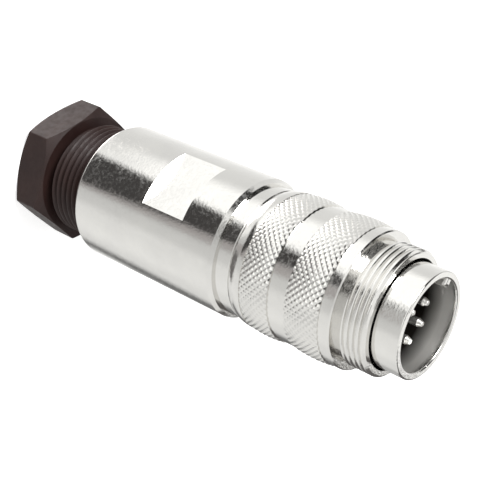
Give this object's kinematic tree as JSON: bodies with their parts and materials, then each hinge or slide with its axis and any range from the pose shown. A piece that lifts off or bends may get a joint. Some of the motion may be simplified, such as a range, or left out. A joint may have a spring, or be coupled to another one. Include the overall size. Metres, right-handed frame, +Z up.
{
  "type": "circular cable connector",
  "caption": "Circular multi-pole cable plug with a keyed shield sleeve, pin contacts, a knurled screw-coupling ring and a cable clamping screw.",
  "frame": {"origin": "centre of the shield sleeve's mouth, on the connector's axis", "axes": "+Z up along the connector's axis, out of the mating face, as it stands on the clamping screw's head; -X towards the key in the sleeve"},
  "size_m": [0.0188, 0.0198, 0.0627],
  "materials": {
    "nickel_plated_brass": "bright nickel plating",
    "plated_contacts": "bright silver plating",
    "spring_steel": "plain steel",
    "black_plastic": "moulded, matte",
    "dark_brown_plastic": "moulded polyamide, satin, brownish black",
    "black_rubber": "moulded rubber"
  },
  "bodies": {
    "connector_body": {"housing": "nickel_plated_brass", "shield_sleeve": "nickel_plated_brass", "contact_insulator": "black_plastic", "contact_pin_1": "plated_contacts", "contact_pin_2": "plated_contacts", "contact_pin_3": "plated_contacts", "contact_pin_4": "plated_contacts", "contact_pin_5": "plated_contacts", "contact_pin_6": "plated_contacts", "contact_pin_7": "plated_contacts", "contact_pin_8": "plated_contacts", "body_o_ring": "black_rubber", "spacer_left": "black_plastic", "spacer_right": "black_plastic", "shield_ring": "nickel_plated_brass", "cable_seal": "black_rubber"},
    "coupling": {"coupling_ring": "nickel_plated_brass", "retaining_ring": "spring_steel"},
    "clamp": {"clamp_cage": "dark_brown_plastic", "thrust_washer": "spring_steel"},
    "screw": {"clamping_screw": "dark_brown_plastic"}
  },
  "joints": [
    {"name": "coupling_spin", "type": "hinge", "parent": "connector_body", "child": "coupling", "pos_m": [0, 0, -0.0132], "axis": [0, 0, 1], "continuous": true},
    {"name": "screw_turn", "type": "hinge", "parent": "screw", "child": "clamp", "pos_m": [0, 0, -0.05315], "axis": [0, 0, 1], "range_deg": [-1080, 1800]},
    {"name": "screw_travel", "type": "slide", "parent": "clamp", "child": "connector_body", "axis": [0, 0, 1], "range_m": [-0.003, 0.005]}
  ],
  "couplings": [
    {"joint": "screw_turn", "follows": "screw_travel", "rad_per_m": 6283.1}
  ]
}
